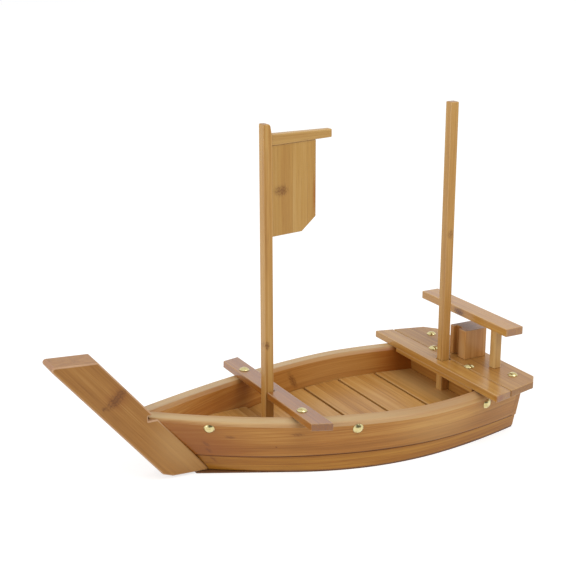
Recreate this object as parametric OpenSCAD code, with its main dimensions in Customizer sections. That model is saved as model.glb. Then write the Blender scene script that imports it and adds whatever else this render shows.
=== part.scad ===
// Wooden serving boat: a flat-bottomed boat of thick bamboo planks, with a raked stem, a thwart,
// an aft deck with a rail, and two square masts that stand loose in their holes.
// X runs from bow to stern, Y from port to starboard and Z up. Stations along the boat are
// measured from the foot of the stem, and heights from the surface that the boat stands on.

/* [Hull] */
// Length of the bottom from the foot of the stem to the foot of the transom
hull_length = 315; // [290:1:350]
// Greatest breadth over the gunwales
gunwale_beam = 189; // [175:1:205]
// Greatest breadth of the bottom
bottom_beam = 172; // [158:0.2:182]
// Station of the widest rib
widest_at = 193; // [175:1:210]
// Breadth of the transom at the gunwale
stern_gunwale_beam = 141; // [130:1:155]
// Breadth of the transom at the bottom
stern_bottom_beam = 133.6; // [123:0.2:145]
// Height of the gunwale in the after half
depth = 53; // [48:0.5:60]
// How much higher the gunwale is at the stem
sheer_rise = 13.3; // [5:0.1:20]
// Station where the gunwale starts to rise towards the bow
sheer_start = 263.5; // [240:0.5:290]
// Thickness of the strakes
strake_t = 13.5; // [12:0.5:15]
// Height of the seam between the strakes at the bow
seam_bow = 18.5; // [15:0.5:22]
// Height of the seam between the strakes at the stern
seam_stern = 14; // [11:0.5:18]
// How far the upper strakes stand proud of the lower ones
strake_step = 1.2; // [0.6:0.1:2]
// Width of the bevels along the top edges of the upper strakes
gunwale_bevel_w = 4.4; // [2:0.2:4.6]
// Height of those bevels
gunwale_bevel_h = 3.6; // [2:0.2:4.4]
// Radius that softens the upper edge of a bevel
gunwale_round = 3; // [1:0.5:3.5]
// Thickness of the bottom board
bottom_t = 1.5; // [1:0.5:3]
// How far the bottom board reaches forward under the stem
bottom_nose = 15.5; // [8:0.5:30]
// How far the bottom board's edge lies inside the lower strakes
bottom_inset = 1; // [0.5:0.1:3]

/* [Stem] */
// Thickness of the stem
stem_t = 28; // [25:0.5:32]
// Width of the stem across its raked edges
stem_w = 33.6; // [30:0.2:38]
// Angle of the stem above the level
stem_rake = 50; // [45:1:56]
// Height of the after corner of the stem's top
stem_top = 127.5; // [110:0.5:145]
// How much higher the stem's top is at its front edge
stem_top_rise = 2.5; // [0:0.5:8]
// Radius of the stem's top front corner
stem_tip_round = 3; // [0.5:0.5:4]
// How much higher the stem's foot is at the front than at the after edge
stem_foot_rise = 1.5; // [0:0.1:3]
// Height of the bevel under the stem's front edge
stem_bevel_h = 3.6; // [2:0.2:6]
// Length of that bevel
stem_bevel_l = 10; // [6:0.5:18]
// How far the lower strakes tuck in behind each cheek of the stem
stem_scoop = 2.8; // [2:0.1:5]
// How deep the strakes' ends sit in the stem
stem_pocket = 6.3; // [4:0.1:9]
// Height of the window in the stem's cheeks, below the gunwale
stem_window = 3.6; // [2:0.2:9]
// Open gap between the gunwale and the top of that window
window_gap = 1.2; // [0.6:0.1:2]

/* [Transom and bulkhead] */
// Thickness of the transom
transom_t = 7; // [5:0.5:9]
// Rake of the transom from upright
transom_rake = 9.4; // [4:0.2:14]
// Thickness of the bulkhead under the deck
bulkhead_t = 13.5; // [10:0.5:16]

/* [Floor] */
// Height of the floor's upper face
floor_h = 27; // [24:0.5:32]
// Thickness of the floor slats
slat_t = 6; // [4:0.5:8]
// Width of each of the three after slats
slat_w = 42.2; // [36:0.1:46]
// Open seam between two slats
slat_gap = 2.2; // [1:0.1:3]
// Width of the battens under the floor
batten_w = 10; // [7:0.5:14]
// Distance between the centre lines of the two battens
batten_spacing = 76; // [60:1:84]
// Distance from the after edge of the bow floor to the front ends of the battens
batten_setback = 12; // [8:1:20]
// How much higher the bow floor is than the slats, at its after edge
bow_floor_step = 3; // [1:0.5:5]
// Slope of the bow floor
bow_floor_slope = 10; // [6:0.5:13]
// Length of the bow floor
bow_floor_l = 80; // [60:1:84]

/* [Boards] */
// Thickness of the thwart and deck boards
board_t = 7.2; // [6:0.2:9]
// Radius of the eased edges of boards and bars
edge_round = 0.8; // [0.4:0.1:1.2]

/* [Thwart] */
// Station of the thwart's front edge
thwart_at = 63.5; // [50:0.5:80]
// Width of the thwart
thwart_w = 19.7; // [16:0.1:24]
// How far the thwart reaches past the gunwales
thwart_overhang = 25.3; // [15:0.1:30]

/* [Deck] */
// Length of the deck
deck_l = 65.3; // [63:0.1:74]
// Width of the front deck plank
deck_plank_w = 20.3; // [20:0.1:22]
// Open seam between that plank and the rear board
deck_seam = 0.7; // [0.1:0.1:1.5]
// How far the deck reaches past the top of the transom
deck_aft_overhang = 0.3; // [0:0.1:6]
// How far the deck reaches past the gunwales
deck_overhang = 23.2; // [15:0.1:28]
// Length of the cut corners at the deck's after edge
deck_corner_l = 10.4; // [6:0.2:14]
// Breadth of those cut corners
deck_corner_w = 12.4; // [8:0.2:18]
// Width of the beam under the front deck plank
beam_w = 8.2; // [6:0.1:9]
// Height of that beam
beam_h = 4.4; // [3:0.1:7]
// Open gap at each end of that beam
beam_end_gap = 2.4; // [0.5:0.1:5]

/* [Masts] */
// Side of the square masts
mast_w = 9.2; // [7.6:0.1:10]
// Height of the front mast's top
front_mast_top = 323; // [280:1:340]
// Height over which the front mast's after face leans in at its top
mast_lean_h = 11; // [6:0.5:20]
// How far it leans in
mast_lean_l = 2; // [0.4:0.2:3]
// Radius of the front mast's top after corner
mast_top_round = 3; // [1:0.5:4]
// Height of the rear mast's top
rear_mast_top = 328.5; // [280:0.5:350]
// How far the front mast stands proud of the thwart's front edge
mast_proud = 1.2; // [0:0.1:2]

/* [Sail and yard] */
// Length of the yard
yard_l = 63; // [50:0.2:75]
// Height of the yard's end at the mast
yard_root_h = 10.6; // [8:0.1:13]
// Height of the yard's free end
yard_tip_h = 7.8; // [6:0.1:10]
// Distance from the mast's top down to the yard's upper face
yard_drop = 9.6; // [4:0.1:14]
// Length of the sail
sail_l = 46.7; // [40:0.1:49]
// Thickness of the sail
sail_t = 5; // [3:0.5:7]
// Height of the sail's lower edge at the mast
sail_foot = 216.8; // [190:0.2:230]
// Rise of the sail's lower edge towards its cut corner
sail_foot_rise = 1.8; // [0:0.1:3]
// Length of the sail's cut corner
sail_corner_l = 14.8; // [8:0.2:20]
// Height of the sail's cut corner
sail_corner_h = 13.2; // [8:0.2:20]

/* [Rail] */
// Width of the rail
rail_w = 21; // [16:0.1:24]
// Thickness of the rail
rail_t = 8.2; // [6:0.2:10]
// Length of the rail
rail_l = 148.2; // [120:0.2:160]
// Height of the rail's posts
post_h = 42.4; // [34:0.2:50]
// Side of the square posts
post_w = 8.4; // [7:0.1:10]
// Distance between the centre lines of the posts
post_spacing = 90.4; // [70:0.2:110]
// Distance from the deck's after edge to the rail's centre line
rail_from_aft = 18.8; // [16:0.1:24]

/* [Grooved block] */
// Breadth of the block
block_w = 27; // [22:0.5:32]
// Depth of the block
block_l = 27; // [22:0.5:27]
// Height of the block
block_h = 31; // [24:0.5:38]
// Width of the groove in its front face
groove_w = 9; // [7:0.1:11]
// Distance of the groove's centre line from the boat's, to starboard
groove_shift = 3; // [0:0.5:4]
// Depth of that groove
groove_l = 5; // [3:0.5:12]
// Distance from the deck's after edge to the block's after face
block_from_aft = 6.6; // [6:0.1:10]

/* [Nails] */
// Diameter of a nail's domed head
head_d = 10.2; // [8:0.1:12]
// Height of that head
head_h = 2.6; // [1.8:0.1:3.5]
// Diameter of a nail's shank
shank_d = 2; // [1.4:0.1:2.6]
// Length of the shank of a hull nail
hull_shank = 10.5; // [8:0.5:10.5]
// Length of the shank of a nail through a board
board_shank = 17; // [14:0.5:20]
// Distance of the front hull nail below the gunwale
nail_drop_bow = 10.5; // [9.5:0.1:12]
// Distance of the middle hull nail below the gunwale
nail_drop_middle = 10.2; // [9.5:0.1:13]
// Distance of the after hull nail below the gunwale
nail_drop_stern = 12; // [10:0.1:14]
// Share of the hull's length at which the front hull nail sits
hull_nail_bow = 0.097; // [0.09:0.001:0.14]
// Share of the hull's length at which the middle hull nail sits
hull_nail_middle = 0.449; // [0.36:0.001:0.55]
// Share of the hull's length at which the after hull nail sits
hull_nail_stern = 0.852; // [0.8:0.001:0.88]
// Distance of the thwart nails from the thwart's front edge
thwart_nail_from_front = 8; // [6:0.1:13]
// Distance of a thwart nail from the hull's side
thwart_nail_inset = 10; // [7:0.1:10.5]
// Distance of an after deck nail from the hull's side
deck_nail_inset = 3.6; // [3.2:0.1:8]
// Distance from the deck's after edge to its after nails
deck_nail_from_aft = 16.6; // [15:0.1:20]
// Distance of the front deck nails behind the bulkhead's front face
deck_nail_from_bulkhead = 4.8; // [4:0.1:9]
// Distance between the two front deck nails
deck_nail_spacing = 64; // [50:1:80]

/* [Fits] */
// Clearance of a loose mast on each side of its hole
mast_fit = 0.6; // [0.4:0.1:1]
// Gap left by the glue between two pieces that meet
glue_gap = 0.1; // [0.05:0.05:0.2]
// Gap between the floor and the hull's sides
wall_gap = 0.4; // [0.2:0.1:1]

/* [Hidden] */

// Tones of the varnished bamboo and of the brass
hull_tone = [0.78, 0.58, 0.38];
top_tone = [0.84, 0.66, 0.46];
floor_tone = [0.72, 0.55, 0.36];
brass_tone = [0.85, 0.72, 0.38];

// Numbers of ribs and of arc steps in the curved planks
rib_count = 40;
arc_steps = 4;

// Shares of the bow floor's length at which its bearers lie
bearer_shares = [0.15, 0.6];

// Number of the narrower floor slats, and ribs of the slot in the stem with their pitch
slat_count = 3;
slot_ribs = 8;
slot_pitch = 4;

// Powers of the curves that the gunwale and the bottom follow, and of the sheer
gunwale_bow_power = 1.7;
gunwale_stern_power = 1.75;
bottom_bow_power = 2.15;
bottom_stern_power = 1.7;
sheer_power = 2.5;
seam_power = 1.5;

// Places along the boat that follow from the sizes above
stem_gunwale_x = -(depth + sheer_rise) / tan(stem_rake);
transom_gunwale_x = hull_length + depth * tan(transom_rake);
transom_run = transom_t / cos(transom_rake);
deck_aft = transom_gunwale_x + deck_aft_overhang;
deck_front = deck_aft - deck_l;
beam_at = deck_front + mast_fit;
rear_mast_at = beam_at + beam_w + mast_fit;
bulkhead_at = rear_mast_at + mast_w + mast_fit;
front_mast_at = thwart_at - mast_proud;
bow_floor_aft = front_mast_at + mast_w / 2;
rail_at = deck_aft - rail_from_aft;
block_at = deck_aft - block_from_aft - block_l;
rib_growth = (transom_gunwale_x - stem_gunwale_x) / hull_length;

// Heights that follow from the sizes above
deck_under = depth + glue_gap;
deck_top = deck_under + board_t;
floor_under = floor_h - slat_t;
yard_top = front_mast_top - yard_drop;

function blend(a, b, t) = a + (b - a) * t;

// Half breadth of a curve at station x, from half breadths at the stem, widest rib and transom
function curve_half(x, bow_x, stern_x, bow, wide, stern, bow_power, stern_power) =
    x < widest_at
    ? blend(wide, bow, pow((widest_at - x) / (widest_at - bow_x), bow_power))
    : blend(wide, stern, pow((x - widest_at) / (stern_x - widest_at), stern_power));

function gunwale_half(x) = curve_half(x, stem_gunwale_x, transom_gunwale_x,
    stem_t / 2, gunwale_beam / 2, stern_gunwale_beam / 2, gunwale_bow_power, gunwale_stern_power);

function bottom_half(x) = curve_half(x, 0, hull_length,
    stem_t / 2 - stem_scoop, bottom_beam / 2, stern_bottom_beam / 2,
    bottom_bow_power, bottom_stern_power);

function sheer(x) = depth + sheer_rise
    * pow(max(0, sheer_start - x) / (sheer_start - stem_gunwale_x), sheer_power);

// A rib is a straight line up the hull's side, kept as its stations at the bottom and the gunwale.
// It lies at share u of the way from ahead of the stem's edge to short of the transom's after face.
function rib(u, ahead = 0, short = 0) = [
    blend(-ahead, hull_length - short, u),
    blend(stem_gunwale_x - ahead, transom_gunwale_x - short, u)];

function rib_share(r, z) = z / sheer(r[1]);
function rib_x(r, z) = blend(r[0], r[1], rib_share(r, z));
function rib_half(r, z) = blend(bottom_half(r[0]), gunwale_half(r[1]), rib_share(r, z));

// Thickness of the side measured square to the boat's length, where the curve slopes in plan
function plank_run(low, high) = strake_t * sqrt(1 + pow(high - low, 2));
function bottom_run(x) = plank_run(bottom_half(x - 0.5), bottom_half(x + 0.5));
function gunwale_run(x) = plank_run(gunwale_half(x - 0.5), gunwale_half(x + 0.5));

function rib_inner(r, z) = max(glue_gap, rib_half(r, z)
    - blend(bottom_run(r[0]), gunwale_run(r[1]), rib_share(r, z)));

// Half breadth between the sides at station x and height z
function inside_half(x, z) = let (first = rib_x(rib(0), z), last = rib_x(rib(1), z))
    rib_inner(rib((x - first) / (last - first)), z);

function seam(r) = blend(seam_bow, seam_stern,
    pow(max(0, r[0] - hull_length / 3) / (hull_length * 2 / 3), seam_power));

// Station of the stem's after and front edges at height z
function stem_aft_x(z) = -z / tan(stem_rake);
function stem_front_x(z) = stem_aft_x(z) - stem_w / sin(stem_rake);

function unit(v) = v / norm(v);

// The arc that rounds corner b between a and c
function corner(a, b, c, r) = r == 0 ? [b] :
    let (u = unit(a - b), v = unit(c - b), half = acos(u * v) / 2,
        centre = b + unit(u + v) * r / sin(half),
        p = b + u * r / tan(half) - centre, q = b + v * r / tan(half) - centre,
        start = atan2(p[1], p[0]), turn = (atan2(q[1], q[0]) - start + 540) % 360 - 180)
    [for (i = [0:arc_steps]) centre + r * [cos(start + turn * i / arc_steps),
        sin(start + turn * i / arc_steps)]];

// An outline with each corner rounded to its own radius
function rounded(points, radii) = let (n = len(points)) [for (i = [0:n - 1])
    each corner(points[(i + n - 1) % n], points[i], points[(i + 1) % n], radii[i])];

function rectangle(w, h) = [[0, 0], [w, 0], [w, h], [0, h]];
function eased(w, h) = rounded(rectangle(w, h), [for (i = [0:3]) edge_round]);

// The stem's outline as [x, z], from its foot up the after edge and down the front edge
stem_low = bottom_t + glue_gap;
stem_foot_z = stem_low + stem_foot_rise;
stem_bevel_z = stem_foot_z + stem_bevel_h;
stem_head = stem_top + stem_top_rise;
stem_profile = rounded([[stem_aft_x(stem_low), stem_low], [stem_aft_x(stem_top), stem_top],
    [stem_front_x(stem_head), stem_head], [stem_front_x(stem_bevel_z), stem_bevel_z],
    [stem_front_x(stem_bevel_z) + stem_bevel_l, stem_foot_z]],
    [0, edge_round, stem_tip_round, 0, 0]);

// The origin lies under the middle of the boat
middle_x = (min([for (p = stem_profile) p[0]]) + deck_aft) / 2;

// Rib sections as [y, z] lists, for the starboard side
function upper_section(r) = let (low = seam(r) + glue_gap, high = sheer(r[1]),
    crease = high - gunwale_bevel_h, half = rib_half(r, high), inner = rib_inner(r, high),
    bevel = min(gunwale_bevel_w, (half - inner) / 3))
    rounded([[rib_inner(r, low), low], [rib_half(r, low), low], [rib_half(r, crease), crease],
        [half - bevel, high], [inner + bevel, high], [rib_inner(r, crease), crease]],
        [0, strake_step, 0, gunwale_round, gunwale_round, 0]);

function lower_section(r) = let (low = bottom_t + glue_gap, high = seam(r))
    [[rib_inner(r, low), low], [rib_half(r, low) - strake_step, low],
        [rib_half(r, high) - strake_step, high], [rib_inner(r, high), high]];

// A section across the whole boat between two heights, gap inside the given half breadths
function cross_section(low, high, low_half, high_half) =
    [[-low_half, low], [low_half, low], [high_half, high], [-high_half, high]];

// Sets [y, z] sections up on their ribs
function on_ribs(ribs, sections) = [for (i = [0:len(ribs) - 1])
    [for (p = sections[i]) [rib_x(ribs[i], p[1]), p[0], p[1]]]];

// A solid through equal closed sections, given as lists of points in space
module loft(sections) {
    n = len(sections[0]);
    last = len(sections) - 1;
    sides = [for (i = [0:last - 1]) for (j = [0:n - 1])
        let (k = (j + 1) % n, a = i * n + j, b = i * n + k, c = a + n, d = b + n)
        each [[a, c, d], [a, d, b]]];
    polyhedron(points = [for (s = sections) each s],
        faces = concat([[for (j = [0:n - 1]) j]], sides, [[for (j = [0:n - 1]) last * n + n - 1 - j]]));
}

// The space between the hull's sides, gap inside them, from height low to height high
module hull_inside(low, high, gap) {
    ribs = [for (i = [0:rib_count]) rib(i / rib_count)];
    loft(on_ribs(ribs, [for (r = ribs) cross_section(low, high,
        max(glue_gap, rib_inner(r, low) - gap), max(glue_gap, rib_inner(r, high) - gap))]));
}

// A bar or board across the boat with eased edges, its front lower edge at [x, z]
module cross_bar(x, z, w, h, length) {
    translate([x, length / 2, z]) rotate([90, 0, 0]) linear_extrude(length) polygon(eased(w, h));
}

// An upright square bar with eased edges, its front face at station x and its centre at y
module upright(x, y, side, low, high) {
    translate([x, y - side / 2, low]) linear_extrude(high - low) polygon(eased(side, side));
}

// A board's outline, from half breadths at its front and after edges
module taper(front, aft, front_half, aft_half, low, high) {
    translate([0, 0, low]) linear_extrude(high - low)
        polygon([[front, -front_half], [aft, -aft_half], [aft, aft_half], [front, front_half]]);
}

// The clear hole that a mast stands in
module mast_hole(x, low, high) {
    translate([x - mast_fit, -mast_w / 2 - mast_fit, low])
        cube([mast_w + 2 * mast_fit, mast_w + 2 * mast_fit, high - low]);
}

module boat_frame() {
    translate([-middle_x, 0, 0]) children();
}

// Nails: a place is [point, direction of the head]
function surface_nail(u, drop, side) =
    let (r = rib(u), z = sheer(r[1]) - drop, before = rib(u - 0.01), after = rib(u + 0.01),
        slope = (rib_half(after, z) - rib_half(before, z)) / (rib_x(after, z) - rib_x(before, z)),
        flare = (gunwale_half(r[1]) - bottom_half(r[0]) - slope * (r[1] - r[0])) / sheer(r[1]))
    [[rib_x(r, z), side * rib_half(r, z), z], unit([-slope, side, -flare])];

hull_nail_row = [[hull_nail_bow, nail_drop_bow], [hull_nail_middle, nail_drop_middle],
    [hull_nail_stern, nail_drop_stern]];
hull_nail_places = [for (side = [-1, 1]) for (n = hull_nail_row)
    surface_nail(n[0], n[1], side)];

thwart_tilt = atan((sheer(thwart_at) - sheer(thwart_at + thwart_w)) / thwart_w);
thwart_nail_x = thwart_at + thwart_nail_from_front * cos(thwart_tilt);
thwart_nail_places = [for (side = [-1, 1]) let (x = thwart_nail_x)
    [[x + board_t * sin(thwart_tilt), side * (gunwale_half(x) - thwart_nail_inset),
        sheer(x) + board_t / cos(thwart_tilt) + 2 * glue_gap],
        [sin(thwart_tilt), 0, cos(thwart_tilt)]]];

deck_nail_aft_x = deck_aft - deck_nail_from_aft;
deck_nail_places = [for (side = [-1, 1]) for (p = [
        [bulkhead_at + deck_nail_from_bulkhead, deck_nail_spacing / 2],
        [deck_nail_aft_x, gunwale_half(deck_nail_aft_x) - deck_nail_inset]])
    [[p[0], side * p[1], deck_top], [0, 0, 1]]];

module aim(place) {
    d = place[1];
    translate(place[0]) rotate([0, acos(d[2]), atan2(d[1], d[0])]) children();
}

// A domed head on a round shank
module nail(shank) {
    dome_r = (head_d * head_d / 4 + head_h * head_h) / (2 * head_h);
    rotate_extrude($fn = 48) intersection() {
        translate([0, head_h - dome_r]) circle(dome_r, $fn = 96);
        translate([0, glue_gap]) square([head_d / 2, head_h]);
    }
    translate([0, 0, -shank]) cylinder(h = shank + glue_gap, d = shank_d, $fn = 24);
}

module nails(places, shank) {
    color(brass_tone) boat_frame() for (p = places) aim(p) nail(shank);
}

module nail_holes(places, shank) {
    for (p = places) aim(p) translate([0, 0, -shank - glue_gap])
        cylinder(h = shank + head_d, d = shank_d + 2 * glue_gap, $fn = 24);
}

// The stem: a raked plank, pocketed for the ends of the strakes
module stem() {
    gunwale = sheer(stem_gunwale_x);
    front_wall = stem_gunwale_x - stem_pocket - glue_gap;
    color(hull_tone) boat_frame() difference() {
        translate([0, stem_t / 2, 0]) rotate([90, 0, 0]) linear_extrude(stem_t)
            polygon(stem_profile);
        strake_slot(gunwale + window_gap);
        translate([front_wall, -stem_t, gunwale - stem_window])
            cube([stem_w, 2 * stem_t, stem_window + window_gap]);
    }
}

// The slot in the stem's after edge that the strakes' ends fill
module strake_slot(top) {
    ribs = [for (i = [0:slot_ribs]) [i * slot_pitch - stem_pocket - glue_gap,
        stem_gunwale_x - stem_pocket - glue_gap + i * slot_pitch * rib_growth]];
    loft(on_ribs(ribs, [for (r = ribs) cross_section(0, top,
        rib_half(r, 0) + 2 * glue_gap, rib_half(r, top) + 2 * glue_gap)]));
}

// Side planks of the starboard side
module upper_strake() {
    ribs = [for (i = [0:rib_count]) rib(i / rib_count, stem_pocket, transom_run + glue_gap)];
    loft(on_ribs(ribs, [for (r = ribs) upper_section(r)]));
}

module lower_strake() {
    ribs = [for (i = [0:rib_count]) rib(i / rib_count, stem_pocket, 0)];
    loft(on_ribs(ribs, [for (r = ribs) lower_section(r)]));
}

module drilled_upper_strake(flip) {
    color(hull_tone) boat_frame() difference() {
        mirror([0, flip, 0]) upper_strake();
        nail_holes(hull_nail_places, hull_shank);
        nail_holes(thwart_nail_places, board_shank);
        nail_holes(deck_nail_places, board_shank);
    }
}

module port_upper_strake() {
    drilled_upper_strake(1);
}

module starboard_upper_strake() {
    drilled_upper_strake(0);
}

module port_lower_strake() {
    color(hull_tone) boat_frame() mirror([0, 1, 0]) lower_strake();
}

module starboard_lower_strake() {
    color(hull_tone) boat_frame() lower_strake();
}

// The thin board that the hull stands on, cut straight from its nose to the widening hull
module bottom_board() {
    ribs = [for (i = [0:rib_count]) rib(i / rib_count)];
    inset = strake_step + bottom_inset;
    nose_half = stem_t / 2 - bottom_inset;
    side = [for (r = ribs) [rib_x(r, bottom_t), max(nose_half, rib_half(r, bottom_t) - inset)]];
    half = concat([[-bottom_nose, nose_half]], side);
    color(floor_tone) boat_frame() linear_extrude(bottom_t) hull()
        polygon(concat([for (p = half) [p[0], -p[1]]],
            [for (i = [len(half) - 1:-1:0]) half[i]]));
}

// Strips along the bottom that carry the floor slats
module floor_battens() {
    start = bow_floor_aft + batten_setback;
    low = bottom_t + glue_gap;
    for (side = [-1, 1]) color(floor_tone) boat_frame()
        translate([start, side * batten_spacing / 2 - batten_w / 2, low])
            cube([bulkhead_at - glue_gap - start, batten_w, floor_under - glue_gap - low]);
}

// Places a child along the sloping bow floor, its upper after edge at the origin
module bow_slope() {
    translate([bow_floor_aft - glue_gap, 0, floor_h + bow_floor_step])
        rotate([0, bow_floor_slope, 0]) children();
}

// The raised floor of the bow, notched for the front half of the mast
module bow_floor() {
    color(floor_tone) boat_frame() difference() {
        intersection() {
            hull_inside(floor_under, depth + sheer_rise, wall_gap);
            bow_slope() translate([-bow_floor_l, -gunwale_beam / 2, -slat_t])
                cube([bow_floor_l, gunwale_beam, slat_t]);
        }
        mast_hole(front_mast_at, 0, depth);
    }
}

// Cross strips that carry the bow floor
module bow_bearers() {
    low = bottom_t + glue_gap;
    for (share = bearer_shares) color(floor_tone) boat_frame() difference() {
        intersection() {
            hull_inside(low, depth, wall_gap);
            translate([bow_floor_aft - share * bow_floor_l - batten_w, -gunwale_beam / 2, low])
                cube([batten_w, gunwale_beam, depth]);
        }
        bow_slope() translate([-2 * bow_floor_l, -gunwale_beam / 2, -slat_t - glue_gap])
            cube([3 * bow_floor_l, gunwale_beam, depth]);
    }
}

// Transverse floor slats: one wide board at the mast, then three narrower ones
module floor_slats() {
    aft = bulkhead_at - glue_gap;
    pitch = slat_w + slat_gap;
    spans = concat([[bow_floor_aft + glue_gap, aft - slat_count * pitch]],
        [for (i = [slat_count - 1:-1:0]) [aft - i * pitch - slat_w, aft - i * pitch]]);
    for (s = spans) color(floor_tone) boat_frame() difference() {
        intersection() {
            hull_inside(floor_under, floor_h, wall_gap);
            translate([s[0], -gunwale_beam / 2, floor_under])
                cube([s[1] - s[0], gunwale_beam, slat_t]);
        }
        mast_hole(front_mast_at, 0, depth);
        mast_hole(rear_mast_at, 0, depth);
    }
}

// The transom: its neck stands between the lower strakes, its shoulders behind the upper ones
module transom() {
    low = bottom_t + glue_gap;
    high = deck_under - glue_gap;
    ribs = [rib(1, 0, transom_run), rib(1)];
    shoulder = seam(ribs[0]) + glue_gap;
    color(hull_tone) boat_frame() {
        loft(on_ribs(ribs, [for (r = ribs) cross_section(low, shoulder + strake_step,
            rib_inner(r, low) - glue_gap, rib_inner(r, shoulder) - glue_gap)]));
        loft(on_ribs(ribs, [for (r = ribs) cross_section(shoulder, high,
            rib_half(r, shoulder), rib_half(r, high))]));
    }
}

// The cross wall under the deck
module bulkhead() {
    low = bottom_t + glue_gap;
    color(hull_tone) boat_frame() difference() {
        intersection() {
            hull_inside(low, deck_under - glue_gap, glue_gap);
            translate([bulkhead_at, -gunwale_beam / 2, low])
                cube([bulkhead_t, gunwale_beam, depth]);
        }
        nail_holes(deck_nail_places, board_shank);
    }
}

// The beam that stiffens the deck's front edge
module deck_beam() {
    low = deck_under - glue_gap - beam_h;
    half = inside_half(beam_at + beam_w, low) - beam_end_gap;
    color(hull_tone) boat_frame() cross_bar(beam_at, low, beam_w, beam_h, 2 * half);
}

// Half breadth of the deck at station x: a straight taper to the cut corners
function deck_half(x) = let (turn = deck_aft - deck_corner_l)
    blend(gunwale_half(deck_front), gunwale_half(turn), (x - deck_front) / (turn - deck_front))
    + deck_overhang;

module front_deck_plank() {
    aft = deck_front + deck_plank_w;
    color(top_tone) boat_frame() difference() {
        intersection() {
            cross_bar(deck_front, deck_under, deck_plank_w, board_t, 2 * gunwale_beam);
            taper(deck_front, aft, deck_half(deck_front), deck_half(aft), deck_under, deck_top);
        }
        mast_hole(rear_mast_at, 0, 2 * deck_top);
        translate([rear_mast_at, -mast_w / 2 - mast_fit, 0])
            cube([deck_plank_w, mast_w + 2 * mast_fit, 2 * deck_top]);
    }
}

module rear_deck() {
    front = deck_front + deck_plank_w + deck_seam;
    turn = deck_aft - deck_corner_l;
    corner_half = deck_half(turn);
    color(top_tone) boat_frame() difference() {
        intersection() {
            cross_bar(front, deck_under, deck_aft - front, board_t, 2 * gunwale_beam);
            union() {
                taper(front, turn, deck_half(front), corner_half, deck_under, deck_top);
                taper(turn, deck_aft, corner_half, corner_half - deck_corner_w, deck_under, deck_top);
            }
        }
        nail_holes(deck_nail_places, board_shank);
    }
}

// The thwart lies along the sheer, so it tilts a little towards the stern
module thwart() {
    front_half = gunwale_half(thwart_at) + thwart_overhang;
    aft_half = gunwale_half(thwart_at + thwart_w) + thwart_overhang;
    color(top_tone) boat_frame() difference() {
        translate([thwart_at, 0, sheer(thwart_at) + glue_gap]) rotate([0, thwart_tilt, 0])
            intersection() {
                cross_bar(0, 0, thwart_w, board_t, 2 * gunwale_beam);
                taper(0, thwart_w, front_half, aft_half, 0, board_t);
            }
        mast_hole(front_mast_at, 0, 2 * depth);
        nail_holes(thwart_nail_places, board_shank);
    }
}

// The front mast's after face leans in at the top, where it was planed by hand
module front_mast() {
    low = bottom_t + glue_gap;
    aft = front_mast_at + mast_w;
    profile = rounded([[front_mast_at, low], [aft, low], [aft, front_mast_top - mast_lean_h],
        [aft - mast_lean_l, front_mast_top], [front_mast_at, front_mast_top]],
        [0, 0, 0, mast_top_round, 0]);
    color(top_tone) boat_frame() intersection() {
        upright(front_mast_at, 0, mast_w, low, front_mast_top);
        translate([0, mast_w / 2, 0]) rotate([90, 0, 0]) linear_extrude(mast_w) polygon(profile);
    }
}

module rear_mast() {
    color(top_tone) boat_frame()
        upright(rear_mast_at, 0, mast_w, bottom_t + glue_gap, rear_mast_top);
}

// Height of the yard's lower edge at a distance x behind the mast
function yard_under(x) = yard_top - blend(yard_root_h, yard_tip_h, x / yard_l);

module yard() {
    profile = [[0, yard_under(0)], [yard_l, yard_under(yard_l)], [yard_l, yard_top], [0, yard_top]];
    color(top_tone) boat_frame()
        translate([front_mast_at + mast_w + glue_gap, board_t / 2, 0]) rotate([90, 0, 0])
            linear_extrude(board_t) polygon(profile);
}

module sail() {
    profile = [[0, sail_foot], [sail_l - sail_corner_l, sail_foot + sail_foot_rise],
        [sail_l, sail_foot + sail_foot_rise + sail_corner_h],
        [sail_l, yard_under(sail_l) - glue_gap], [0, yard_under(0) - glue_gap]];
    color(top_tone) boat_frame()
        translate([front_mast_at + mast_w + glue_gap, sail_t / 2, 0]) rotate([90, 0, 0])
            linear_extrude(sail_t) polygon(profile);
}

module rail() {
    color(top_tone) boat_frame() cross_bar(rail_at - rail_w / 2,
        deck_top + post_h + 2 * glue_gap, rail_w, rail_t, rail_l);
}

module rail_posts() {
    for (side = [-1, 1]) color(top_tone) boat_frame()
        upright(rail_at - post_w / 2, side * post_spacing / 2, post_w,
            deck_top + glue_gap, deck_top + glue_gap + post_h);
}

module grooved_block() {
    color(top_tone) boat_frame() translate([block_at, 0, deck_top + glue_gap]) difference() {
        translate([0, -block_w / 2, 0]) linear_extrude(block_h) polygon(eased(block_l, block_w));
        translate([-groove_l, groove_shift - groove_w / 2, -block_h])
            cube([2 * groove_l, groove_w, 3 * block_h]);
    }
}

module hull_nails() {
    nails(hull_nail_places, hull_shank);
}

module thwart_nails() {
    nails(thwart_nail_places, board_shank);
}

module deck_nails() {
    nails(deck_nail_places, board_shank);
}

stem();
port_upper_strake();
starboard_upper_strake();
port_lower_strake();
starboard_lower_strake();
bottom_board();
floor_battens();
bow_bearers();
floor_slats();
bow_floor();
transom();
bulkhead();
deck_beam();
front_deck_plank();
rear_deck();
thwart();
front_mast();
yard();
sail();
rear_mast();
rail();
rail_posts();
grooved_block();
hull_nails();
thwart_nails();
deck_nails();
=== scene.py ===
import bpy
import numpy as np
from mathutils import Matrix, Vector


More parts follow.
